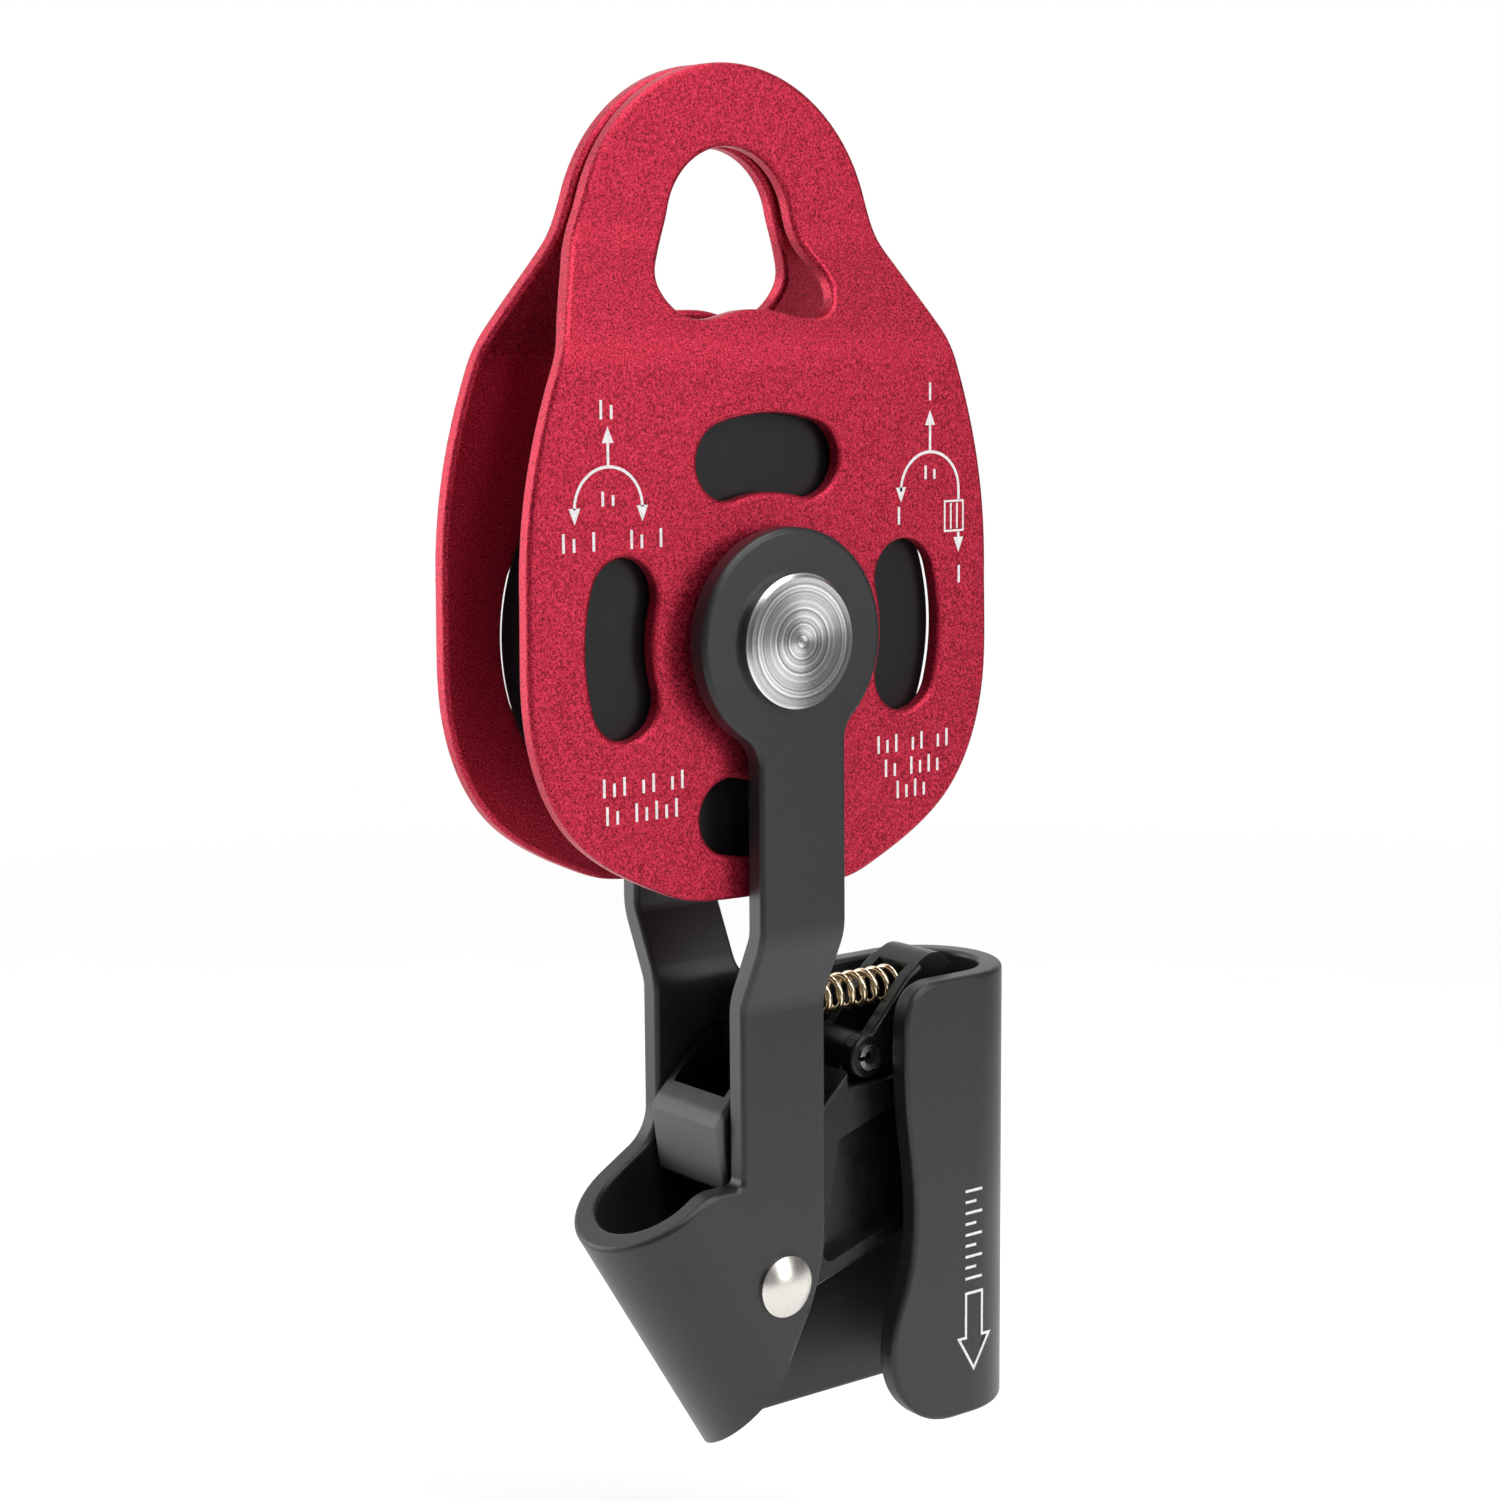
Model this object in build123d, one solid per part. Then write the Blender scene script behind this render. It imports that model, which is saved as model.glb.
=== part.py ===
from build123d import *
import math
import os

# Rope pulley with a built-in rope clamp.
# Millimetres, +Z up, +X to the right, -Y towards the front.  The origin is the centre of the sheave,
# on the axle.  The eye is above it and the clamp hangs below it.

# ---------------------------------------------------------------- driving dimensions
EPS = 0.05                      # running clearance between a moving bore and its shaft

# side plates
PLATE_T = 2.8                   # sheet thickness
PLATE_OUT = 12.0                # outer face, from the middle plane
EYE_OUT = 3.4                   # outer face at the eye, after the joggle
JOGGLE_LOW, JOGGLE_HIGH = 40.6, 55.7
PLATE_HALF_W = 41.0
PLATE_BOTTOM = -37.1
HEAD_R, HEAD_Z = 26.0, 54.4     # round top of the plate
SLOT_R, SLOT_W, SLOT_HALF_ANGLE = 26.1, 11.1, 15.9
PLATE_EDGE = 0.7                # edge rounding

# sheave and its bearing
SHEAVE_R, SHEAVE_HALF = 32.3, 8.8
SHEAVE_EDGE = 0.4
GROOVE_R = 8.0
AXLE_R = 6.0
BEARING_R, BEARING_HALF = 14.0, 4.0
BALL_PITCH_R, BALL_R, BALLS = 10.0, 2.38, 8
RACE_INNER_R, RACE_OUTER_R = 8.8, 11.2
CLIP_T, CLIP_DEPTH = 1.2, 0.8

# clamp frame, one folded sheet
FRAME_T = 3.65
ARM_OUT, CHEEK_OUT = 17.3, 12.4
CHEEK_IN = CHEEK_OUT - FRAME_T
ARM_X0, ARM_X1 = -6.0, 9.4
RING_R = 15.9
ARM_BEND_HIGH, ARM_BEND_LOW, ARM_BEND_R = -42.6, -53.0, 7.0
FOLD_ANGLE = 58.4               # the fold's axis, degrees below the horizontal
FOLD_N = 54.6                   # distance of the fold's axis from the origin
FOLD_RIM_S = 61.7               # the scoop's rim, measured along the fold's axis
FOLD_FRONT_S = 93.6             # the fold's lower end at the front cheek
FRAME_BOTTOM, FRAME_TOP = -124.6, -54.6
CURL_X = 38.8                   # axis of the rope channel
FRAME_EDGE = 0.8
LEDGE_Z = -79.8                 # the rim's level stretch beside the front arm

# axle head, washers
HEAD_DISC_R, HEAD_FACE = 9.6, 19.2
WASHER_R = 11.0

# cam, its pin and springs
PIVOT = (1.44, -96.0)
PIN_R, PIN_HEAD_R, PIN_HEAD_H = 3.0, 4.6, 1.6
PIN_WASHER_R = 5.0
CAM_HALF = 8.2                  # half width of the hub
TAB_HALF = 8.45                 # half width of the thumb tab
BODY_HALF = 6.0                 # half width of the body
NOSE_HALF = 5.6                 # half width of the toothed nose
CAM_SPIRAL = 18.6               # angle of the toothed face, degrees
CAM_REACH = 44.5                # furthest x of the toothed face, closed
WEB_HALF = 3.2

# safety catch
CATCH_PIVOT = (23.1, -66.3)
CATCH_BOSS_R = 3.4
ROLL_PIN_R, ROLL_PIN_BORE = 2.0, 1.1
CATCH_SPRING_Z = -57.0
CATCH_SPRING_X0, CATCH_SPRING_X1 = 13.6, 33.0
CATCH_SPRING_R, CATCH_WIRE_R = 2.5, 0.45


# ---------------------------------------------------------------- helpers
def slab(sketch, y_low, y_high):
    """A sketch in X and Z, made solid from y_low to y_high."""
    return extrude(Plane.XZ.offset(-y_high) * sketch, amount=y_high - y_low)


def turned(points):
    """A ring turned about the Y axis from (radius, y) corners."""
    return revolve(make_face(Polyline(*points, close=True)), Axis.Y)


def ring(r_in, r_out, y_low, y_high):
    return turned([(r_in, y_low), (r_out, y_low), (r_out, y_high), (r_in, y_high)])


def rod(r, x, z, y_low, y_high):
    """A round bar along Y at (x, z)."""
    return slab(Pos(x, z) * Circle(r), y_low, y_high)


def bent_sheet(y_a, z_a, z_b, y_b, z_far, thickness, radius, width):
    """A sheet seen edge-on: flat at y_a, joggled between z_a and z_b, then flat at y_b."""
    z_start = z_a - (z_far if z_b > z_a else -z_far)
    z_end = z_b + (z_far if z_b > z_a else -z_far)
    line = FilletPolyline((y_a, z_start), (y_a, z_a), (y_b, z_b), (y_b, z_end), radius=radius)
    section = trace(line, line_width=thickness)
    return extrude(Plane.YZ * section, amount=width, both=True)


def round_edges(solid, radius, keep=lambda e: True):
    """Round the sharp edges of a solid, leaving out the seams between tangent faces."""
    sharp = [e for e in solid.edges() if is_sharp(solid, e) and keep(e)]
    return fillet(sharp, radius)


def is_sharp(solid, edge):
    faces = [f for f in solid.faces() if any(edge.is_same(other) for other in f.edges())]
    if len(faces) != 2:
        return False
    middle = edge @ 0.5
    turn = faces[0].normal_at(middle).get_angle(faces[1].normal_at(middle))
    return turn > 20


# ---------------------------------------------------------------- side plates
def plate_outline():
    """Half of the outline: the round head, the neck, the wide body and the flat-bottomed foot."""
    neck = (24.7, 62.4)
    shoulder = (33.9, 41.8)
    side = (PLATE_HALF_W, 8.4)
    crown = (HEAD_R * math.sin(0.6), HEAD_Z + HEAD_R * math.cos(0.6))
    head = ThreePointArc((0, HEAD_Z + HEAD_R), crown, neck)
    flank = Spline(neck, shoulder, tangents=[head % 1, (0.38, -0.925)])
    body = Spline(shoulder, side, tangents=[(0.38, -0.925), (0, -1)])
    foot = Spline(side, (40.2, -12.5), (33.2, -26.2), (19.7, -34.5), (0, PLATE_BOTTOM),
                  tangents=[(0, -1), (-1, 0)])
    half = make_face([*head.edges(), *flank.edges(), *body.edges(), *foot.edges(),
                      Line((0, PLATE_BOTTOM), (0, HEAD_Z + HEAD_R))])
    return half + mirror(half, Plane.YZ)


def eye_outline():
    """Pear-shaped eye: a round crown that widens to a broad foot, which rises a little in the middle."""
    crown_r, crown_z, crown_turn = 11.0, 57.8, math.radians(78)
    top, foot = (0, crown_z + crown_r), (0, 46.1)
    crown_end = (crown_r * math.sin(crown_turn), crown_z + crown_r * math.cos(crown_turn))
    crown_mid = (crown_r * math.sin(crown_turn / 2), crown_z + crown_r * math.cos(crown_turn / 2))
    crown = ThreePointArc(top, crown_mid, crown_end)
    bell = Spline(crown_end, (13.2, 54.0), (15.3, 49.6), (13.2, 45.6), (8.6, 44.8), foot,
                  tangents=[crown % 1, (-1, 0)])
    half = make_face([*crown.edges(), *bell.edges(), Line(foot, top)])
    return half + mirror(half, Plane.YZ)


def kidney(angle):
    arc = CenterArc((0, 0), SLOT_R, angle - SLOT_HALF_ANGLE, 2 * SLOT_HALF_ANGLE)
    return SlotArc(arc, SLOT_W)


def side_plate(side):
    """side is -1 for the front plate and +1 for the rear one."""
    sheet = bent_sheet(side * (PLATE_OUT - PLATE_T / 2), JOGGLE_LOW, JOGGLE_HIGH,
                       side * (EYE_OUT - PLATE_T / 2), 90, PLATE_T, 9, 60)
    holes = eye_outline() + Circle(AXLE_R + EPS)
    for quarter in range(4):
        holes += kidney(90 * quarter)
    blank = slab(plate_outline() - holes, -20, 20)
    plate = blank & sheet
    bore_length = 2 * math.pi * (AXLE_R + EPS)
    return round_edges(plate, PLATE_EDGE, lambda e: abs(e.length - bore_length) > 0.5)


# ---------------------------------------------------------------- sheave and bearing
def sheave():
    flank, rim = SHEAVE_HALF - SHEAVE_EDGE, SHEAVE_R - SHEAVE_EDGE
    body = turned([(BEARING_R, -SHEAVE_HALF), (rim, -SHEAVE_HALF), (SHEAVE_R, -flank), (SHEAVE_R, flank),
                   (rim, SHEAVE_HALF), (BEARING_R, SHEAVE_HALF)])
    body += ring(BEARING_R - 1.5, BEARING_R, BEARING_HALF, SHEAVE_HALF)
    groove = revolve(Pos(SHEAVE_R, 0) * Circle(GROOVE_R), Axis.Y)
    clip_seat = ring(BEARING_R - 1, BEARING_R + CLIP_DEPTH, -BEARING_HALF - CLIP_T, -BEARING_HALF)
    return body - groove - clip_seat


def races():
    track = revolve(Pos(BALL_PITCH_R, 0) * Circle(BALL_R + EPS), Axis.Y)
    outer = ring(RACE_OUTER_R, BEARING_R, -BEARING_HALF, BEARING_HALF) - track
    inner = ring(AXLE_R, RACE_INNER_R, -BEARING_HALF, BEARING_HALF) - track
    return outer, inner


def ball_places():
    for k in range(BALLS):
        turn = math.radians(360 / BALLS * k)
        yield Pos(BALL_PITCH_R * math.cos(turn), 0, BALL_PITCH_R * math.sin(turn))


def balls():
    return [place * Sphere(BALL_R) for place in ball_places()]


def cage():
    body = ring(BALL_PITCH_R - 0.8, BALL_PITCH_R + 0.8, -1.8, 3.2)
    for place in ball_places():
        body -= place * Sphere(BALL_R + 0.12)
    return body


def shield(side):
    low, high = sorted((side * 3.4, side * 3.9))
    return ring(RACE_INNER_R + 0.15, RACE_OUTER_R, low, high)


def circlip():
    body = ring(BEARING_R - 1.6, BEARING_R + CLIP_DEPTH, -BEARING_HALF - CLIP_T, -BEARING_HALF)
    gap = Pos(0, -BEARING_HALF, -BEARING_R) * Box(7, 4, 6)
    return body - gap


# ---------------------------------------------------------------- axle
def axle():
    """A turned pin: a wide front head, the shaft, and a riveted rear head."""
    chamfer_c = 0.6
    face = HEAD_FACE
    corners = [(0, -face), (HEAD_DISC_R - chamfer_c, -face), (HEAD_DISC_R, -face + chamfer_c),
               (HEAD_DISC_R, -ARM_OUT), (AXLE_R, -ARM_OUT), (AXLE_R, ARM_OUT),
               (HEAD_DISC_R, ARM_OUT), (HEAD_DISC_R, face - chamfer_c), (HEAD_DISC_R - chamfer_c, face),
               (0, face)]
    return turned(corners)


def spacer(side):
    low, high = sorted((side * BEARING_HALF, side * (PLATE_OUT - PLATE_T - EPS)))
    return ring(AXLE_R, RACE_INNER_R - 0.3, low, high)


def washer(side):
    low, high = sorted((side * (PLATE_OUT + EPS), side * (ARM_OUT - FRAME_T)))
    return ring(AXLE_R, WASHER_R, low, high)


# ---------------------------------------------------------------- clamp frame
FOLD_DIR = (math.cos(math.radians(FOLD_ANGLE)), -math.sin(math.radians(FOLD_ANGLE)))
FOLD_OUT = (FOLD_DIR[1], -FOLD_DIR[0])


def on_fold(s):
    """A point (x, z) on the fold's line, s along its axis."""
    return (FOLD_DIR[0] * s + FOLD_OUT[0] * FOLD_N, FOLD_DIR[1] * s + FOLD_OUT[1] * FOLD_N)


FOLD_REAR_S = (FRAME_BOTTOM - FOLD_OUT[1] * FOLD_N) / FOLD_DIR[1]


def rim_at(x):
    """Where the scoop's rim line crosses x."""
    return (FOLD_RIM_S - FOLD_DIR[0] * x) / FOLD_DIR[1]


def arm_outline():
    """Ring round the axle with the arm below it."""
    shape = Circle(RING_R) + Pos((ARM_X0 + ARM_X1) / 2, -30) * Rectangle(ARM_X1 - ARM_X0, 60)
    necks = [v for v in shape.vertices() if -16 < v.Y < -11]
    return fillet(necks, 5)


def cheek_outline():
    """Front cheek: below the arm, from the scoop's rim down to the fold's end."""
    turn_r, turn_z, turn = 30.0, -88.0, math.radians(27)
    turn_end = (ARM_X1 - turn_r + turn_r * math.cos(turn), turn_z - turn_r * math.sin(turn))
    turn_mid = (ARM_X1 - turn_r + turn_r * math.cos(turn / 2), turn_z - turn_r * math.sin(turn / 2))
    ledge_x = (FOLD_RIM_S - FOLD_DIR[1] * LEDGE_Z) / FOLD_DIR[0]
    left = Polyline((ARM_X1, turn_z), (ARM_X1, -50), (ARM_X0, -50), (ARM_X0, LEDGE_Z), (ledge_x, LEDGE_Z),
                    on_fold(FOLD_RIM_S), on_fold(FOLD_FRONT_S), turn_end)
    shape = make_face([*left.edges(), *ThreePointArc(turn_end, turn_mid, (ARM_X1, turn_z)).edges()])
    corner = [v for v in shape.vertices() if abs(v.X - ARM_X0) < 0.1 and v.Y < -60]
    shape = fillet(corner, 1.2)
    ledge_end = [v for v in shape.vertices() if abs(v.X - ledge_x) < 0.1 and v.Y < -60]
    return fillet(ledge_end, 6)


def back_outline():
    """Back plate: from the fold to the rope channel, with the rear arm rising from it."""
    shape = make_face(Polyline((CURL_X, FRAME_TOP), (ARM_X1, FRAME_TOP), (ARM_X1, -50), (ARM_X0, -50),
                               (ARM_X0, rim_at(ARM_X0)), on_fold(FOLD_RIM_S), on_fold(FOLD_REAR_S),
                               (CURL_X, FRAME_BOTTOM), close=True))
    shape = fillet([v for v in shape.vertices() if abs(v.X - ARM_X0) < 0.1 and v.Y < -60], 7)
    return fillet([v for v in shape.vertices() if abs(v.X - ARM_X1) < 0.1 and v.Y < -52], 3.5)


def fold():
    """The diagonal U-bend between the cheek and the back plate, cut to the blank's slanting edge."""
    across = Plane(origin=(FOLD_OUT[0] * FOLD_N, 0, FOLD_OUT[1] * FOLD_N),
                   x_dir=(FOLD_OUT[0], 0, FOLD_OUT[1]), z_dir=(FOLD_DIR[0], 0, FOLD_DIR[1]))
    bend = extrude(across.offset(FOLD_RIM_S) * half_ring(), amount=70)
    halves = split(bend, bisect_by=fold_end(), keep=Keep.ALL).solids()
    upper = max(halves, key=lambda half: half.bounding_box().max.Z)
    return Part() + upper


def fold_end():
    """The lower end of the fold: it runs on round the bend at a steady rate, square to the sheet."""
    rows = []
    for k in range(-1, 14):
        turn = math.pi * k / 12
        x, z = on_fold(FOLD_FRONT_S + (FOLD_REAR_S - FOLD_FRONT_S) * k / 12)
        rows.append([Vector(x + FOLD_OUT[0] * r * math.sin(turn), -r * math.cos(turn),
                            z + FOLD_OUT[1] * r * math.sin(turn)) for r in (6, 9, 12, 15)])
    return Face.make_surface_from_array_of_points(rows)


def half_ring():
    return (Circle(CHEEK_OUT) - Circle(CHEEK_IN)) & Pos(CHEEK_OUT, 0) * Rectangle(2 * CHEEK_OUT, 60)


def curl():
    """The rope channel's round back."""
    return Pos(CURL_X, 0, FRAME_BOTTOM) * extrude(half_ring(), amount=FRAME_TOP - FRAME_BOTTOM)


def flap_outline():
    """The channel's front flap, with its wavy free edge."""
    top_left, top_start = (24.9, -62.0), (31.5, FRAME_TOP)
    waist, foot_end = (22.4, -112.0), (35.0, FRAME_BOTTOM)
    corner = Spline(top_start, top_left, tangents=[(-1, 0), (0, -1)])
    wave = Spline(top_left, (25.3, -74.0), (26.9, -88.5), (25.2, -101.5), waist, tangents=[(0, -1), (0, -1)])
    foot = Spline(waist, (26.0, -121.0), foot_end, tangents=[(0, -1), (1, 0)])
    rest = Polyline(foot_end, (CURL_X, FRAME_BOTTOM), (CURL_X, FRAME_TOP), top_start)
    return make_face([*corner.edges(), *wave.edges(), *foot.edges(), *rest.edges()])


def off_seams(edge):
    """True for an edge that isn't on the line where two stretches of the sheet join."""
    c = edge.center()
    on_fold_line = abs(FOLD_OUT[0] * c.X + FOLD_OUT[1] * c.Z - FOLD_N) < 0.05
    slanting_end = edge.geom_type == GeomType.BSPLINE and c.X < FOLD_DIR[0] * 20
    return not on_fold_line and not slanting_end and abs(c.X - CURL_X) > 0.05


def clamp_frame():
    arm_mid, cheek_mid = ARM_OUT - FRAME_T / 2, CHEEK_OUT - FRAME_T / 2
    sheets = [bent_sheet(side * arm_mid, ARM_BEND_HIGH, ARM_BEND_LOW, side * cheek_mid, 90, FRAME_T,
                         ARM_BEND_R, 60) for side in (-1, 1)]
    stretches = [slab(arm_outline() + cheek_outline(), -30, 0) & sheets[0],
                 slab(arm_outline() + back_outline(), 0, 30) & sheets[1],
                 fold(), curl(), slab(flap_outline(), -CHEEK_OUT, -CHEEK_IN)]
    frame = Part()
    for stretch in stretches:
        frame += round_edges(stretch, FRAME_EDGE, off_seams)
    return frame - rod(AXLE_R, 0, 0, -30, 30) - rod(PIN_R, *PIVOT, -30, 30)


# ---------------------------------------------------------------- cam
def polar(r, degrees, centre=PIVOT):
    turn = math.radians(degrees)
    return (centre[0] + r * math.cos(turn), centre[1] + r * math.sin(turn))


def nose_r(degrees):
    """Radius of the toothed face: a spiral that grows upwards, so that a pull down jams it."""
    grow = math.tan(math.radians(CAM_SPIRAL))
    at_reach = (CAM_REACH - PIVOT[0]) / math.cos(math.radians(CAM_SPIRAL))
    return at_reach * math.exp(math.radians(degrees - CAM_SPIRAL) * grow)


NOSE_LOW, NOSE_HIGH = 7.5, 34.0         # the toothed face's ends, degrees above the pivot
HUB_R, HUB_WALL = 7.6, 1.4
SPRING_ROOM = 3.4                       # half width of the hub's hollow, round the spring
TAB_FOOT, TAB_TOP = (-6.4, -81.3), (-7.7, -71.4)
SEAT_X, SEAT_TOP = 13.4, -53.2          # the spring seat on the cam
SEAT_BACK = 6.5
TAB_CORNER = 0.9
TAB_WALL = 2.2
BODY_EDGE = 0.6
CASTING_MARK = (14.5, -90.0)            # a round ejector mark on the front of the body


def body_outline():
    """The cam's body seen from the front, without hub, tab and spring seat."""
    face = [polar(nose_r(a), a) for a in (NOSE_LOW, 16, 25, NOSE_HIGH)]
    keel = polar(HUB_R, -68)
    lines = [Spline(*face), Polyline(face[-1], (29.6, -69.4), (26.8, -70.2), (19.4, -70.2), (18.9, -67.9),
                                     (14.0, -72.6), (4.0, -77.5), (0.5, -85.0), (0.5, -98.0)),
             Line((0.5, -98.0), keel), Line(keel, face[0])]
    return make_face([e for line in lines for e in line.edges()])


def tab_outline():
    """Side walls of the hollow thumb tab: from the tab up to the spring seat and down to the hub."""
    front = Line(TAB_FOOT, TAB_TOP)
    rib = Spline(TAB_TOP, (-5.5, -68.4), (-2.2, -65.0), (1.1, -62.5), (5.4, -60.8),
                 tangents=[(0.4, 0.9), (1, 0)])
    rest = Polyline((5.4, -60.8), (SEAT_BACK, SEAT_TOP), (SEAT_X, SEAT_TOP), (SEAT_X, -61.5), (9.0, -70.0),
                    (7.0, -90.0), (-1.0, -89.0), (-0.5, -83.2), TAB_FOOT)
    return make_face([*front.edges(), *rib.edges(), *rest.edges()])


def cam():
    body = slab(body_outline(), -BODY_HALF, BODY_HALF)
    body = fillet(body.edges().filter_by(lambda e: abs(e.center().Y) > BODY_HALF - 0.01), BODY_EDGE)
    for side in (-1, 1):
        low, high = sorted((side * WEB_HALF, side * 9))
        body -= slab(web_pocket(), low, high)
    tab = slab(tab_outline(), -TAB_HALF, TAB_HALF)
    tab = fillet(tab.edges().filter_by(lambda e: e.center().X < 2.0 and e.center().Z > TAB_FOOT[1] - 1.5),
                 TAB_CORNER)
    tab -= slab(tab_hollow(), -TAB_HALF + TAB_WALL, TAB_HALF - TAB_WALL)
    tab -= slab(Pos(14, -60) * Rectangle(16, 17), -9, -4.3) + slab(Pos(14, -60) * Rectangle(16, 17), 4.3, 9)
    hub = rod(HUB_R, *PIVOT, -CAM_HALF, CAM_HALF)
    solid = body + tab + hub
    solid -= rod(PIN_R + EPS, *PIVOT, -9, 9)
    solid -= rod(HUB_R - HUB_WALL, *PIVOT, -SPRING_ROOM, SPRING_ROOM)
    solid -= slab(Pos(PIVOT[0], PIVOT[1] - 6) * Rectangle(5, 8), -SPRING_ROOM, SPRING_ROOM)
    for side in (-1, 1):
        low, high = sorted((side * WEB_HALF, side * 9))
        solid -= rod(CATCH_BOSS_R + 0.5, *CATCH_PIVOT, low, high)
    solid += rod(CATCH_BOSS_R, *CATCH_PIVOT, -WEB_HALF, WEB_HALF) + slab(boss_neck(), -WEB_HALF, WEB_HALF)
    solid -= rod(ROLL_PIN_R, *CATCH_PIVOT, -9, 9)
    solid -= rod(1.9, *CASTING_MARK, -9, -WEB_HALF + 0.5)
    return solid - nose_sides() - teeth()


def boss_neck():
    """The web that carries the catch's boss above the body."""
    x, z = CATCH_PIVOT
    return make_face(Polyline((x - CATCH_BOSS_R, z), (x - 4.6, z - 8), (x + 5.4, z - 8),
                              (x + CATCH_BOSS_R, z), close=True))


def web_pocket():
    """The shallow pocket in each side of the body, inside a rim."""
    inner = Polyline((17.0, -78.0), (30.0, -74.0), (38.0, -73.5), (38.5, -89.5), (13.5, -97.5), close=True)
    shape = make_face(inner)
    return fillet(shape.vertices(), 1.5)


def tab_hollow():
    return make_face(Polyline((-5.0, -60.0), (-4.6, -78.5), (2.0, -80.5), (5.2, -70.0), (4.4, -50.0),
                              close=True))


def nose_sides():
    """Cuts that narrow the toothed nose, to enter the round back of the rope channel."""
    cuts = Part()
    for side in (-1, 1):
        low, high = sorted((side * NOSE_HALF, side * 9))
        cuts += slab(Pos(42, -80) * Rectangle(14, 40), low, high)
    return cuts


def teeth():
    """Grooves across the toothed face."""
    grooves = Part()
    for k in range(11):
        angle = NOSE_LOW + 2 + k * 2.3
        x, z = polar(nose_r(angle), angle)
        notch = Pos(x, z) * Rot(0, 0, angle + 45 - CAM_SPIRAL) * Rectangle(1.0, 1.0)
        grooves += slab(notch, -9, 9)
    return grooves


def cam_pin():
    """Shoulder rivet with two domed heads."""
    top, rim_h = CHEEK_OUT + PIN_HEAD_H, 0.5
    crown = PIN_HEAD_H - rim_h
    dome_r = (PIN_HEAD_R ** 2 + crown ** 2) / (2 * crown)
    bar = rod(PIN_R, 0, 0, -CHEEK_OUT, CHEEK_OUT)
    for side in (-1, 1):
        low, high = sorted((side * CHEEK_OUT, side * top))
        bar += rod(PIN_HEAD_R, 0, 0, low, high) & Pos(0, side * (top - dome_r), 0) * Sphere(dome_r)
    return Pos(PIVOT[0], 0, PIVOT[1]) * bar


def cam_washer(side):
    low, high = sorted((side * (CAM_HALF + EPS), side * CHEEK_IN))
    return Pos(PIVOT[0], 0, PIVOT[1]) * ring(PIN_R, PIN_WASHER_R, low, high)


def coil(mean_r, wire_r, pitch, turns):
    """A helical spring along +Z from the origin."""
    path = Helix(pitch=pitch, height=pitch * turns, radius=mean_r)
    wire = Plane(origin=path @ 0, z_dir=path % 0) * Circle(wire_r)
    return sweep(wire, path=path)


def cam_spring():
    """Torsion spring round the pin, in the hub."""
    spring = coil(4.3, 0.55, 1.3, 4)
    return Pos(PIVOT[0], 2.6, PIVOT[1]) * Rot(90, 0, 0) * spring


# ---------------------------------------------------------------- safety catch
CATCH_EAR_IN, CATCH_EAR_OUT = WEB_HALF + 0.2, 5.8
CATCH_HEAD_HALF = 5.0


def catch_outline():
    """The lever, from its boss up to the hooked head."""
    in_boss = (21.8, -64.9), (24.6, -67.6)
    left = Polyline(in_boss[0], (31.2, -54.9), (33.4, -53.4))
    crown = Spline((33.4, -53.4), (36.9, -52.1), (39.8, -53.4), (41.8, -56.6), (42.6, -60.6),
                   tangents=[(0.9, 0.5), (0, -1)])
    under = Polyline((42.6, -60.6), (41.8, -67.0), (30.0, -68.2), in_boss[1], in_boss[0])
    shape = make_face([*left.edges(), *crown.edges(), *under.edges()])
    shape += Pos(*CATCH_PIVOT) * Circle(CATCH_BOSS_R)
    return fillet([v for v in shape.vertices() if v.X < 30.5 or v.Y < -65], 0.8)


def catch():
    lever = slab(catch_outline(), -CATCH_EAR_OUT, CATCH_EAR_OUT)
    lever = fillet(lever.edges().filter_by(lambda e: abs(e.center().Y) > CATCH_EAR_OUT - 0.01), BODY_EDGE)
    fork = slab(Pos(CATCH_SPRING_X1 - 10, -62) * Rectangle(20, 24), -CATCH_EAR_IN, CATCH_EAR_IN)
    head_sides = Part()
    for side in (-1, 1):
        low, high = sorted((side * CATCH_HEAD_HALF, side * 9))
        head_sides += slab(Pos(42, -57) * Rectangle(17, 12), low, high)
    return lever - fork - head_sides - rod(ROLL_PIN_R + EPS, *CATCH_PIVOT, -9, 9)


def catch_pin():
    """Slotted spring pin."""
    tube = rod(ROLL_PIN_R, *CATCH_PIVOT, -CATCH_EAR_OUT - 0.4, CATCH_EAR_OUT + 0.4)
    tube -= rod(ROLL_PIN_BORE, *CATCH_PIVOT, -9, 9)
    return tube - slab(Pos(CATCH_PIVOT[0] - 2, CATCH_PIVOT[1]) * Rectangle(4, 0.7), -9, 9)


def catch_spring():
    """Compression spring between the cam's seat and the catch."""
    length = CATCH_SPRING_X1 - CATCH_SPRING_X0 - 2 * CATCH_WIRE_R
    spring = coil(CATCH_SPRING_R, CATCH_WIRE_R, length / 8, 8)
    return Pos(CATCH_SPRING_X0 + CATCH_WIRE_R, 0, CATCH_SPRING_Z) * Rot(0, 90, 0) * spring


# ---------------------------------------------------------------- write
def build():
    outer_race, inner_race = races()
    return {
        "front_plate": side_plate(-1),
        "rear_plate": side_plate(1),
        "sheave": sheave(),
        "bearing_outer_race": outer_race,
        "bearing_inner_race": inner_race,
        "bearing_balls": balls(),
        "bearing_cage": cage(),
        "bearing_shield_front": shield(-1),
        "bearing_shield_rear": shield(1),
        "bearing_circlip": circlip(),
        "axle": axle(),
        "spacer_front": spacer(-1),
        "spacer_rear": spacer(1),
        "washer_front": washer(-1),
        "washer_rear": washer(1),
        "clamp_frame": clamp_frame(),
        "cam_pin": cam_pin(),
        "cam_washer_front": cam_washer(-1),
        "cam_washer_rear": cam_washer(1),
        "cam": cam(),
        "cam_spring": cam_spring(),
        "catch": catch(),
        "catch_pin": catch_pin(),
        "catch_spring": catch_spring(),
    }


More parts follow.
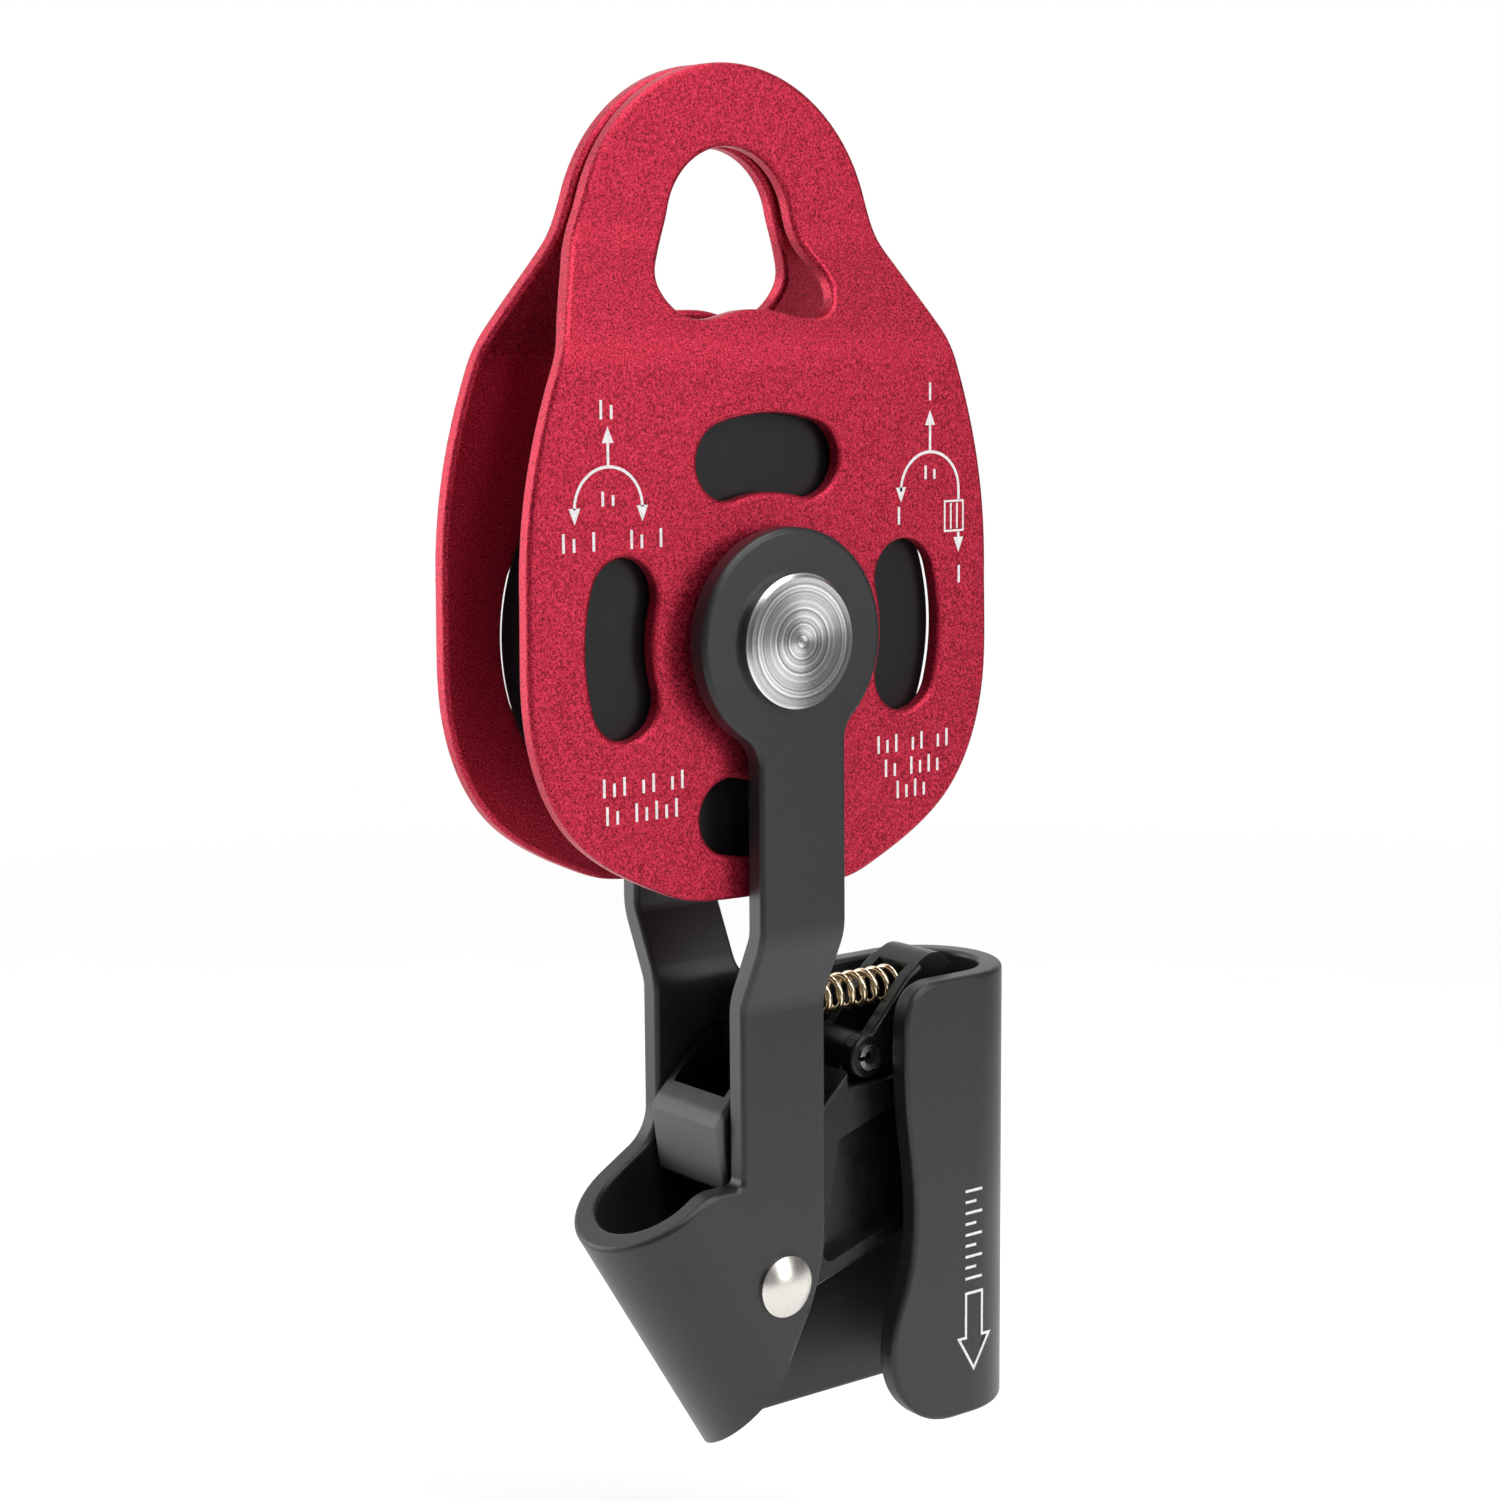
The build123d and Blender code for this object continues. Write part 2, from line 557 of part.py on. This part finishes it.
os.makedirs("parts", exist_ok=True)
for name, shape in build().items():
    if isinstance(shape, list):
        shape = Compound(children=shape)
    export_step(shape, f"parts/{name}.step")
    print(name, round(shape.volume, 1))
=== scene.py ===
import math

import bpy
import bmesh
from mathutils import Matrix, Vector


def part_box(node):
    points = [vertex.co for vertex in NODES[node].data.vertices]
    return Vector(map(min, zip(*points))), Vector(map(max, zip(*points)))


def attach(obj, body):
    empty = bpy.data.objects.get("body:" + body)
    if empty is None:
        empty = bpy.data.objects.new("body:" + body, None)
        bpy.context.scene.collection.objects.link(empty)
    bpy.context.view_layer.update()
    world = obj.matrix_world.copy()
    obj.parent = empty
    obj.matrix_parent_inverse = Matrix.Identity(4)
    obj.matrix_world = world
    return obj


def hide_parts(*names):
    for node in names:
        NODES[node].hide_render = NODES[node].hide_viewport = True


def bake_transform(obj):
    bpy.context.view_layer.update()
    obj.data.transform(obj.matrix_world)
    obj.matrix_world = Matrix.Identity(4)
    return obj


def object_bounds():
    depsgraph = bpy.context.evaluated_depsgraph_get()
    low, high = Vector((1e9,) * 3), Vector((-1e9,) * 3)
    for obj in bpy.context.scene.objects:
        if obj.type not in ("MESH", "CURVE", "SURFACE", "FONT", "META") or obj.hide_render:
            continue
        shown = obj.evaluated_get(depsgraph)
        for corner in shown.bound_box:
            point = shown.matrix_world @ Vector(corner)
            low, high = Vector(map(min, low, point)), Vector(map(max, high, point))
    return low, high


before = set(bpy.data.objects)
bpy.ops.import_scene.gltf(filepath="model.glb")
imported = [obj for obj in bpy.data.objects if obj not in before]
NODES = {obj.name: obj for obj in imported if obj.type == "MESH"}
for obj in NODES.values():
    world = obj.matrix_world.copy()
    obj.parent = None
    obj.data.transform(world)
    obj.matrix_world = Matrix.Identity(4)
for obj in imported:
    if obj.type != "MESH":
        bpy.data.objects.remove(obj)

cad_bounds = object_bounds()

MM = 0.001
PARTS = bpy.context.scene.collection

# ---------------------------------------------------------------- places
CLAMP_SHEET = 3.65 * MM                     # the thickness of the clamp frame's sheet
PLATE_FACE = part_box("front_plate")[0].y     # the front side plate's outer face
FLAP_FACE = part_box("cam_washer_front")[0].y - CLAMP_SHEET   # the washer lies against the same sheet
TAB_FOOT, TAB_START = -6.2 * MM, -7.0 * MM  # X between which the cam's body turns into its thumb tab

# ---------------------------------------------------------------- colours, as linear light
RED = (0.46, 0.014, 0.043)
RED_GLINT = (0.68, 0.045, 0.095)
FRAME_BLACK = (0.013, 0.013, 0.0145)
SHEAVE_BLACK = (0.006, 0.006, 0.007)
WASHER_BLACK = (0.012, 0.012, 0.012)
COAT_DARK, COAT_LIGHT = (0.004, 0.004, 0.0042), (0.008, 0.008, 0.0085)
# painted highlight: a lighter grey painted on the cam's thumb tab for the light its face reflects
TAB_HIGHLIGHT_GREY = (0.11, 0.11, 0.116)
RING_DARK, RING_BRIGHT = (0.17, 0.17, 0.165), (0.82, 0.82, 0.81)
NICKEL = (0.73, 0.70, 0.655)
ROLLED_STEEL = (0.82, 0.79, 0.74)
BEARING_STEEL = (0.74, 0.74, 0.75)
PRESSED_STEEL = (0.58, 0.58, 0.58)
CAGE_BRASS = (0.72, 0.52, 0.24)
OILED_STEEL = (0.26, 0.25, 0.24)
BRASSY_WIRE = (0.95, 0.80, 0.56)
PRINT_DARK, PRINT_LIGHT = (0.66, 0.62, 0.63), (0.88, 0.86, 0.86)
PAPER_DARK, PAPER_LIGHT = (0.89, 0.89, 0.89), (0.91, 0.91, 0.91)
WHITE = (1.0, 1.0, 1.0)

# ---------------------------------------------------------------- node helpers
RANGE_SOCKETS = ("From Min", "From Max", "To Min", "To Max")
NOISE_LOW, NOISE_HIGH = 0.3, 0.7            # noise seldom leaves these values
MIX_COLOUR_A, MIX_COLOUR_B = 6, 7           # a Mix node's colour sockets, which share their names
MIX_COLOUR_OUT = 2


def map_range(tree, value, limits, smooth=False):
    """Carry a value from between the first two limits over to between the last two."""
    spread = tree.nodes.new("ShaderNodeMapRange")
    spread.interpolation_type = "SMOOTHSTEP" if smooth else "LINEAR"
    for socket, limit in zip(RANGE_SOCKETS, limits):
        spread.inputs[socket].default_value = limit
    tree.links.new(value, spread.inputs["Value"])
    return spread.outputs["Result"]


class Nodes:
    """A material's node tree, with its Principled shader as .shader."""

    def __init__(self, name):
        self.material = bpy.data.materials.new(name)
        self.material.use_nodes = True
        self.tree = self.material.node_tree
        self.tree.nodes.clear()
        output = self.add("OutputMaterial")
        self.shader = self.add("BsdfPrincipled")
        self.join(self.shader.outputs["BSDF"], output, "Surface")
        self.place = self.add("TexCoord").outputs["Object"]

    def add(self, kind, **values):
        """A node of a kind, with its properties and unlinked sockets set by name."""
        node = self.tree.nodes.new("ShaderNode" + kind)
        for key, value in values.items():
            if hasattr(node, key):
                setattr(node, key, value)
            else:
                node.inputs[key].default_value = value
        return node

    def join(self, output, target, socket):
        self.tree.links.new(output, target.inputs[socket])

    def set(self, **values):
        """Set the shader's own sockets: their names, with _ for a space."""
        for key, value in values.items():
            self.shader.inputs[key.replace("_", " ")].default_value = value

    def noise(self, size, detail=2.0, roughness=0.5, place=None):
        """Noise whose grain is size metres across."""
        texture = self.add("TexNoise", Scale=1 / size, Detail=detail, Roughness=roughness)
        self.join(self.place if place is None else place, texture, "Vector")
        return texture.outputs["Fac"]

    def split(self):
        """The place in the part's own frame as separate coordinates."""
        split = self.add("SeparateXYZ")
        self.join(self.place, split, "Vector")
        return split.outputs

    def ramp(self, value, stops):
        ramp = self.add("ValToRGB")
        elements = ramp.color_ramp.elements
        while len(elements) < len(stops):
            elements.new(0.5)
        for element, (position, colour) in zip(elements, stops):
            element.position = position
            element.color = (*colour, 1)
        self.join(value, ramp, "Fac")
        return ramp.outputs["Color"]

    def colour(self, value, stops):
        self.join(self.ramp(value, stops), self.shader, "Base Color")

    def roughness(self, value, low, high):
        spread = map_range(self.tree, value, (NOISE_LOW, NOISE_HIGH, low, high))
        self.join(spread, self.shader, "Roughness")

    def bump(self, value, strength, depth, after=None):
        """Relief depth metres high, on top of an earlier bump if there is one."""
        bump = self.add("Bump", Strength=strength, Distance=depth)
        self.join(value, bump, "Height")
        if after is not None:
            self.join(after, bump, "Normal")
        self.join(bump.outputs["Normal"], self.shader, "Normal")
        return bump.outputs["Normal"]


def tinted(colour, factor):
    return tuple(min(1.0, c * factor) for c in colour)


# ---------------------------------------------------------------- materials
def red_anodised():
    """Bead-blasted aluminium, dyed red: a fine grain that sparkles."""
    m = Nodes("red_anodised")
    grain = m.noise(0.27 * MM, detail=2, roughness=0.6)
    sparkle = m.noise(0.55 * MM, detail=1.5, roughness=0.6)
    m.colour(grain, [(0.34, tinted(RED, 0.30)), (0.5, RED), (0.68, RED_GLINT)])
    m.roughness(grain, 0.34, 0.5)
    first = m.bump(grain, strength=0.8, depth=0.08 * MM)
    m.bump(sparkle, strength=0.35, depth=0.03 * MM, after=first)
    m.set(Metallic=0.75)
    return m.material


def black_satin(name, base, roughness, grain_size, gloss=0.5):
    """Black anodised sheet: even and satin, with the blasted grain just showing."""
    m = Nodes(name)
    grain = m.noise(grain_size, detail=3, roughness=0.6)
    cloud = m.noise(18 * MM, detail=1)
    m.colour(grain, [(0.25, tinted(base, 0.75)), (0.75, tinted(base, 1.35))])
    m.roughness(cloud, *roughness)
    m.bump(grain, strength=0.4, depth=0.01 * MM)
    m.set(Specular_IOR_Level=gloss)
    return m.material


def black_casting():
    """Cast steel under a glossy black coat with the mould's soft unevenness.

    The thumb tab is made rougher and painted lighter grey, a painted highlight for the light its face
    reflects.
    """
    glossy, rough, tab_rough = 0.24, 0.36, 0.55
    m = Nodes("black_casting")
    skin = m.noise(0.8 * MM, detail=2, roughness=0.5)
    swell = m.noise(3.5 * MM, detail=1)
    # painted highlight: from TAB_FOOT to TAB_START the thumb tab fades to a painted lighter grey, and grows
    # rougher
    tab_highlight_mask = map_range(m.tree, m.split()["X"], (TAB_FOOT, TAB_START, 0, 1), smooth=True)

    coat = m.ramp(skin, [(NOISE_LOW, COAT_DARK), (NOISE_HIGH, COAT_LIGHT)])
    coat_with_highlight = m.add("Mix", data_type="RGBA")
    m.join(tab_highlight_mask, coat_with_highlight, "Factor")
    m.join(coat, coat_with_highlight, MIX_COLOUR_A)
    coat_with_highlight.inputs[MIX_COLOUR_B].default_value = (*TAB_HIGHLIGHT_GREY, 1)
    m.join(coat_with_highlight.outputs[MIX_COLOUR_OUT], m.shader, "Base Color")

    dulled = m.add("Mix", data_type="FLOAT", B=tab_rough)
    m.join(tab_highlight_mask, dulled, "Factor")
    m.join(map_range(m.tree, swell, (NOISE_LOW, NOISE_HIGH, glossy, rough)), dulled, "A")
    m.join(dulled.outputs["Result"], m.shader, "Roughness")

    first = m.bump(swell, strength=0.12, depth=0.04 * MM)
    m.bump(skin, strength=0.3, depth=0.02 * MM, after=first)
    m.set(Specular_IOR_Level=0.32)
    return m.material


def turned_steel():
    """Steel faced on a lathe: rings about the axle, so highlights fan out from the centre."""
    m = Nodes("turned_steel")
    place = m.split()
    flat = m.add("CombineXYZ")
    m.join(place["X"], flat, "X")
    m.join(place["Z"], flat, "Y")
    radius = m.add("VectorMath", operation="LENGTH")
    m.join(flat.outputs["Vector"], radius, "Vector")
    across = m.add("CombineXYZ")
    m.join(radius.outputs["Value"], across, "X")
    rings = m.noise(0.42 * MM, detail=3.0, roughness=0.65, place=across.outputs["Vector"])
    broad = m.noise(1.3 * MM, place=across.outputs["Vector"])
    m.colour(rings, [(0.36, RING_DARK), (0.64, RING_BRIGHT)])
    m.roughness(broad, 0.16, 0.26)
    m.bump(rings, strength=0.5, depth=0.02 * MM)
    tangent = m.add("Tangent", direction_type="RADIAL", axis="Y")
    m.join(tangent.outputs["Tangent"], m.shader, "Tangent")
    m.set(Metallic=1.0, Anisotropic=0.85)
    return m.material


def bright_metal(name, colour, roughness, grain_size=0.4 * MM, depth=0.01 * MM):
    """Bare or plated metal whose shine, between two roughnesses, is a little cloudy."""
    m = Nodes(name)
    grain = m.noise(grain_size, detail=3, roughness=0.6)
    cloud = m.noise(3 * MM, detail=2)
    m.colour(cloud, [(NOISE_LOW, tinted(colour, 0.88)), (NOISE_HIGH, colour)])
    m.roughness(cloud, *roughness)
    m.bump(grain, strength=0.3, depth=depth)
    m.set(Metallic=1.0)
    return m.material


def white_print():
    """Laser-white marking, a little uneven at the grain of the sheet below it."""
    m = Nodes("white_print")
    grain = m.noise(0.35 * MM, detail=2)
    m.colour(grain, [(NOISE_LOW, PRINT_DARK), (NOISE_HIGH, PRINT_LIGHT)])
    m.roughness(grain, 0.5, 0.7)
    m.bump(grain, strength=0.3, depth=0.02 * MM)
    return m.material


def dress(material, *nodes):
    for name in nodes:
        slots = NODES[name].data.materials
        slots.clear()
        slots.append(material)


dress(red_anodised(), "front_plate", "rear_plate")
dress(black_satin("black_frame", FRAME_BLACK, (0.34, 0.42), 0.45 * MM), "clamp_frame")
dress(black_satin("black_sheave", SHEAVE_BLACK, (0.36, 0.44), 0.3 * MM, gloss=0.25), "sheave")
dress(black_satin("black_washer", WASHER_BLACK, (0.5, 0.6), 0.3 * MM),
      "washer_front", "washer_rear", "cam_washer_front", "cam_washer_rear")
dress(black_casting(), "cam", "catch")
dress(turned_steel(), "axle", "spacer_front", "spacer_rear")
dress(bright_metal("nickel", NICKEL, (0.24, 0.3), grain_size=0.5 * MM, depth=0.002 * MM), "cam_pin")
dress(bright_metal("rolled_steel", ROLLED_STEEL, (0.2, 0.32)), "catch_pin")
dress(bright_metal("bearing_steel", BEARING_STEEL, (0.12, 0.2)),
      "bearing_outer_race", "bearing_inner_race", "bearing_balls")
dress(bright_metal("pressed_steel", PRESSED_STEEL, (0.3, 0.45)),
      "bearing_shield_front", "bearing_shield_rear")
dress(bright_metal("cage_brass", CAGE_BRASS, (0.3, 0.45)), "bearing_cage")
dress(bright_metal("oiled_spring_steel", OILED_STEEL, (0.3, 0.45)), "bearing_circlip", "cam_spring")
dress(bright_metal("brassy_wire", BRASSY_WIRE, (0.16, 0.28)), "catch_spring")


# ---------------------------------------------------------------- the catch's spring
def bending_spring():
    """The catch's coil, as a piece of its own: a copy of the spring's mesh, with the original hidden."""
    node = NODES["catch_spring"]
    coil = bpy.data.objects.new("catch_coil", node.data.copy())
    PARTS.objects.link(coil)
    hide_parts("catch_spring")
    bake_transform(coil)


bending_spring()


# ---------------------------------------------------------------- shapes of the printed marks
# Outlines are in millimetres, as X and Z. Strokes meet end to end: where two lay over each other
# in one plane they would shade each other.
PRINT_RISE, PRINT_SINK = 0.04 * MM, 0.01 * MM   # how far a mark stands off its face, and sits in it
STROKE = 0.42
FINE_STROKE = STROKE * 0.7
HEAD_L, HEAD_W = 2.2, 1.9                       # an arrowhead's length and width
TICK_PITCH = 1.7
GROUP_GAP = TICK_PITCH * 0.9                    # added between two groups of ticks
TICK_TALL, TICK_SMALL = 2.6, 2.0
SHORT_TICK = 0.72                               # every second tick's share of the height
SHARPEST_MITRE = 0.3
ARC_STEPS = 28


def ribbon(points, width, closed=False):
    """Quads along a line, mitred where it turns."""
    line = [Vector(p) for p in points]
    count = len(line)
    sides = []
    for i, here in enumerate(line):
        back = line[i - 1] if closed or i > 0 else None
        ahead = line[(i + 1) % count] if closed or i < count - 1 else None
        arrive = (here - back).normalized() if back is not None else (ahead - here).normalized()
        leave = (ahead - here).normalized() if ahead is not None else arrive
        across = Vector((-(arrive + leave).y, (arrive + leave).x)).normalized()
        reach = width / 2 / max(SHARPEST_MITRE, across.dot(Vector((-arrive.y, arrive.x))))
        sides.append((here + across * reach, here - across * reach))
    quads = []
    for i in range(count if closed else count - 1):
        (left, right), (next_left, next_right) = sides[i], sides[(i + 1) % count]
        quads.append([left, next_left, next_right, right])
    return quads


def arc(centre, radius, start, end):
    turns = [math.radians(start + (end - start) * k / ARC_STEPS) for k in range(ARC_STEPS + 1)]
    return [(centre[0] + radius * math.cos(t), centre[1] + radius * math.sin(t)) for t in turns]


def arrowhead(tip, direction):
    along = Vector(direction).normalized()
    across = Vector((-along.y, along.x))
    foot = Vector(tip) - along * HEAD_L
    return [Vector(tip), foot + across * HEAD_W / 2, foot - across * HEAD_W / 2]


def ticks(centre, groups, height=TICK_TALL):
    """A row of upright ticks in groups, centred at a point: they stand where figures would."""
    places, x = [], 0.0
    for group in groups:
        for _ in range(group):
            places.append(x)
            x += TICK_PITCH
        x += GROUP_GAP
    middle = (places[0] + places[-1]) / 2
    foot = centre[1] - height / 2
    polygons = []
    for k, place in enumerate(places):
        tall = height if k % 2 == 0 else height * SHORT_TICK
        at = centre[0] + place - middle
        polygons += ribbon([(at, foot), (at, foot + tall)], STROKE)
    return polygons


def load_diagram(centre, radius, stem_top, feet, gap=None):
    """A half ring with an arrow up from its crown and an arrow down at each foot.

    The right-hand stem is broken between the two heights of gap.
    """
    x, z = centre
    polygons = ribbon(arc(centre, radius, 0, 180), STROKE)
    polygons += ribbon([(x, z + radius + STROKE / 2), (x, stem_top - HEAD_L)], STROKE)
    polygons.append(arrowhead((x, stem_top), (0, 1)))
    for side, foot in zip((-1, 1), feet):
        stem_x = x + side * radius
        start = z
        if side == 1 and gap is not None:
            polygons += ribbon([(stem_x, z), (stem_x, gap[0])], STROKE)
            start = gap[1]
        polygons += ribbon([(stem_x, start), (stem_x, foot + HEAD_L)], STROKE)
        polygons.append(arrowhead((stem_x, foot), (0, -1)))
    return polygons


def grip_symbol(centre, width, height):
    """A box with two bars in it, beside the stem: it stands for the clamp."""
    x, z = centre
    left, right, low, high = x - width / 2, x + width / 2, z - height / 2, z + height / 2
    box = [(left, low), (right, low), (right, high), (left, high)]
    polygons = ribbon(box, FINE_STROKE, closed=True)
    for k in (1, 2):
        bar = left + k * width / 3
        polygons += ribbon([(bar, low + FINE_STROKE), (bar, high - FINE_STROKE)], FINE_STROKE)
    return polygons


# ---------------------------------------------------------------- the marks on the plate and the flap
ARCH_RADIUS = 5.6
LEFT_ARCH, RIGHT_ARCH = (-27.8, 19.6), (29.8, 19.6)
LEFT_TOP, LEFT_FEET = 30.6, (17.6, 17.6)        # the heights of each diagram's arrow tips
RIGHT_TOP, RIGHT_FEET = 31.3, (18.0, 10.2)
GRIP_W, GRIP_H, GRIP_Z = 3.6, 4.4, 15.6
GRIP_INSET = 0.9                                # from the right-hand stem back to the box's middle

# each row of ticks on the plate: its middle, the ticks in each group and its height
PLATE_TICKS = [
    ((-28.0, 32.9), [2], TICK_TALL), ((-32.8, 15.2), [2, 1], TICK_TALL), ((-21.6, 15.2), [2, 1], TICK_TALL),
    ((-27.9, 20.9), [2], TICK_SMALL), ((29.8, 22.2), [2], TICK_SMALL),
    ((29.8, 34.0), [1], TICK_TALL), ((23.8, 16.1), [1], TICK_TALL), ((35.5, 6.9), [1], TICK_TALL),
    ((-22.6, -18.7), [3, 2, 2], TICK_TALL), ((-22.9, -22.6), [2, 5], TICK_TALL),
    ((26.5, -17.4), [3, 2, 2], TICK_TALL), ((26.3, -21.0), [2, 4], TICK_TALL),
    ((26.1, -24.4), [4], TICK_TALL),
]

ARROW_X = 38.75                                 # the flap's arrow: its middle, then its heights
ARROW_TIP, ARROW_NECK, ARROW_TOP = -117.3, -112.1, -105.0
HEAD_HALF, SHAFT_HALF = 3.1, 1.65
SCALE_TICKS, SCALE_START, SCALE_PITCH = 9, 2.4, 1.75
SCALE_LEFT, SCALE_LONG, SCALE_SHORT = 1.8, 3.4, 2.2


def plate_marks():
    """Two load diagrams and the rows of ticks round them."""
    half = GRIP_H / 2 + STROKE / 2
    polygons = load_diagram(LEFT_ARCH, ARCH_RADIUS, LEFT_TOP, LEFT_FEET)
    polygons += load_diagram(RIGHT_ARCH, ARCH_RADIUS, RIGHT_TOP, RIGHT_FEET, (GRIP_Z + half, GRIP_Z - half))
    polygons += grip_symbol((RIGHT_ARCH[0] + ARCH_RADIUS - GRIP_INSET, GRIP_Z), GRIP_W, GRIP_H)
    for centre, groups, height in PLATE_TICKS:
        polygons += ticks(centre, groups, height)
    return polygons


def flap_marks():
    """A hollow arrow down the rope channel, with a scale of ticks above it."""
    outline = [(ARROW_X - SHAFT_HALF, ARROW_TOP), (ARROW_X + SHAFT_HALF, ARROW_TOP),
               (ARROW_X + SHAFT_HALF, ARROW_NECK), (ARROW_X + HEAD_HALF, ARROW_NECK), (ARROW_X, ARROW_TIP),
               (ARROW_X - HEAD_HALF, ARROW_NECK), (ARROW_X - SHAFT_HALF, ARROW_NECK)]
    polygons = ribbon(outline, STROKE, closed=True)
    left = ARROW_X - SCALE_LEFT
    for k in range(SCALE_TICKS):
        z = ARROW_TOP + SCALE_START + k * SCALE_PITCH
        wide = SCALE_LONG if k % 2 == 0 else SCALE_SHORT
        polygons += ribbon([(left, z), (left + wide, z)], STROKE)
    return polygons


def printed(name, polygons, face, body, material):
    """Thin raised shapes standing on a face that looks towards -Y."""
    mesh = bpy.data.meshes.new(name)
    shape = bmesh.new()
    for polygon in polygons:
        corners = [Vector((p[0] * MM, face, p[1] * MM)) for p in polygon]
        low = [shape.verts.new(c + Vector((0, PRINT_SINK, 0))) for c in corners]
        high = [shape.verts.new(c - Vector((0, PRINT_RISE, 0))) for c in corners]
        shape.faces.new(high)
        shape.faces.new(list(reversed(low)))
        for i in range(len(corners)):
            j = (i + 1) % len(corners)
            shape.faces.new([low[i], low[j], high[j], high[i]])
    bmesh.ops.recalc_face_normals(shape, faces=shape.faces)
    shape.to_mesh(mesh)
    shape.free()
    mesh.materials.append(material)
    piece = bpy.data.objects.new(name, mesh)
    PARTS.objects.link(piece)
    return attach(piece, body)


white = white_print()
printed("plate_marks", plate_marks(), PLATE_FACE, "front_side_plate", white)
printed("flap_marks", flap_marks(), FLAP_FACE, "clamp", white)


# ---------------------------------------------------------------- floor
FLOOR_SOLID, FLOOR_RADIUS = 0.15, 0.75      # the floor thins out from one radius to the other
FLOOR_DROP = 30 * MM                        # below the object, which hangs from its eye
FLOOR_CORNERS = 96


def paper():
    """Pale floor that thins out to nothing towards its round edge."""
    m = Nodes("pale_floor")
    grain = m.noise(40 * MM, detail=2)
    m.colour(grain, [(NOISE_LOW, PAPER_DARK), (NOISE_HIGH, PAPER_LIGHT)])
    m.roughness(grain, 0.8, 0.9)
    distance = m.add("VectorMath", operation="LENGTH")
    m.join(m.place, distance, "Vector")
    fade = map_range(m.tree, distance.outputs["Value"], (FLOOR_SOLID, FLOOR_RADIUS, 1, 0), smooth=True)
    m.join(fade, m.shader, "Alpha")
    return m.material


def floor():
    turns = [2 * math.pi * k / FLOOR_CORNERS for k in range(FLOOR_CORNERS)]
    rim = [(FLOOR_RADIUS * math.cos(t), FLOOR_RADIUS * math.sin(t), 0) for t in turns]
    mesh = bpy.data.meshes.new("floor")
    mesh.from_pydata(rim, [], [tuple(range(FLOOR_CORNERS))])
    mesh.materials.append(paper())
    ground = bpy.data.objects.new("floor", mesh)
    ground.location.z = cad_bounds[0].z - FLOOR_DROP
    PARTS.objects.link(ground)


# ---------------------------------------------------------------- light
FRONT_GLOW, BACK_GLOW = 0.15, 1.0           # the studio's light from in front and from behind
FRONT_ENDS, BACK_STARTS = -0.15, 0.6        # how far back (Y of the direction) each reaches
LIT_SHADER, SEEN_SHADER = 1, 2              # a Mix Shader's two inputs, which share their name
LIGHT_AIM = Vector((0.0, 0.0, -0.03))

# name: azimuth, elevation, distance, width and height, power
LIGHTS = {
    "overhead": (-20, 82, 0.9, (0.9, 0.9), 8.5),
    "front_panel": (25, 22, 0.9, (0.34, 0.95), 3.7),
    "glint": (-8, 36, 0.9, (0.14, 0.14), 1.4),
    "left_panel": (-138, 8, 0.8, (0.5, 0.8), 3.2),
}


def outward(azimuth, elevation):
    """The direction from the object towards a place seen at these angles, in degrees."""
    a, e = math.radians(azimuth), math.radians(elevation)
    return Vector((math.sin(a) * math.cos(e), -math.cos(a) * math.cos(e), math.sin(e)))


def area_light(name, azimuth, elevation, distance, size, power):
    light = bpy.data.lights.new(name, "AREA")
    light.shape = "RECTANGLE"
    light.size, light.size_y = size
    light.energy = power
    lamp = bpy.data.objects.new(name, light)
    back = outward(azimuth, elevation)
    lamp.location = LIGHT_AIM + back * distance
    lamp.rotation_euler = (-back).to_track_quat("-Z", "Y").to_euler()
    PARTS.objects.link(lamp)


def surroundings():
    """A white studio: bright behind the object, dimmer where its front faces, plain white to look at."""
    world = bpy.data.worlds.new("studio")
    world.use_nodes = True
    tree = world.node_tree
    lit = tree.nodes["Background"]
    seen = tree.nodes.new("ShaderNodeBackground")
    for background in (lit, seen):
        background.inputs["Color"].default_value = (*WHITE, 1)
    place = tree.nodes.new("ShaderNodeTexCoord")
    split = tree.nodes.new("ShaderNodeSeparateXYZ")
    tree.links.new(place.outputs["Generated"], split.inputs["Vector"])
    glow = map_range(tree, split.outputs["Y"], (FRONT_ENDS, BACK_STARTS, FRONT_GLOW, BACK_GLOW), smooth=True)
    tree.links.new(glow, lit.inputs["Strength"])
    path = tree.nodes.new("ShaderNodeLightPath")
    choose = tree.nodes.new("ShaderNodeMixShader")
    tree.links.new(path.outputs["Is Camera Ray"], choose.inputs["Fac"])
    tree.links.new(lit.outputs["Background"], choose.inputs[LIT_SHADER])
    tree.links.new(seen.outputs["Background"], choose.inputs[SEEN_SHADER])
    tree.links.new(choose.outputs["Shader"], tree.nodes["World Output"].inputs["Surface"])
    bpy.context.scene.world = world


# ---------------------------------------------------------------- camera
CAMERA_AZIMUTH, CAMERA_ELEVATION, CAMERA_ROLL = -37.596, 8.562, -0.452
CAMERA_PLACE = Vector((-254.28, -337.07, 45.98)) * MM
LENS, SENSOR = 70.13, 36.0                  # millimetres
CLIP_NEAR, CLIP_FAR = 0.01, 20.0


def camera():
    """The viewing angle: turned to the left, a little above the horizon."""
    back = outward(CAMERA_AZIMUTH, CAMERA_ELEVATION)
    azimuth = math.radians(CAMERA_AZIMUTH)
    right = Vector((math.cos(azimuth), math.sin(azimuth), 0))
    up = back.cross(right)
    turn = Matrix((right, up, back)).transposed() @ Matrix.Rotation(math.radians(CAMERA_ROLL), 3, "Z")
    data = bpy.data.cameras.new("camera")
    data.sensor_width = SENSOR
    data.lens = LENS
    data.clip_start, data.clip_end = CLIP_NEAR, CLIP_FAR
    eye = bpy.data.objects.new("camera", data)
    eye.matrix_world = Matrix.Translation(CAMERA_PLACE) @ turn.to_4x4()
    PARTS.objects.link(eye)
    bpy.context.scene.camera = eye


floor()
surroundings()
for lamp_name, settings in LIGHTS.items():
    area_light(lamp_name, *settings)
camera()
bpy.context.scene.view_settings.view_transform = "Standard"
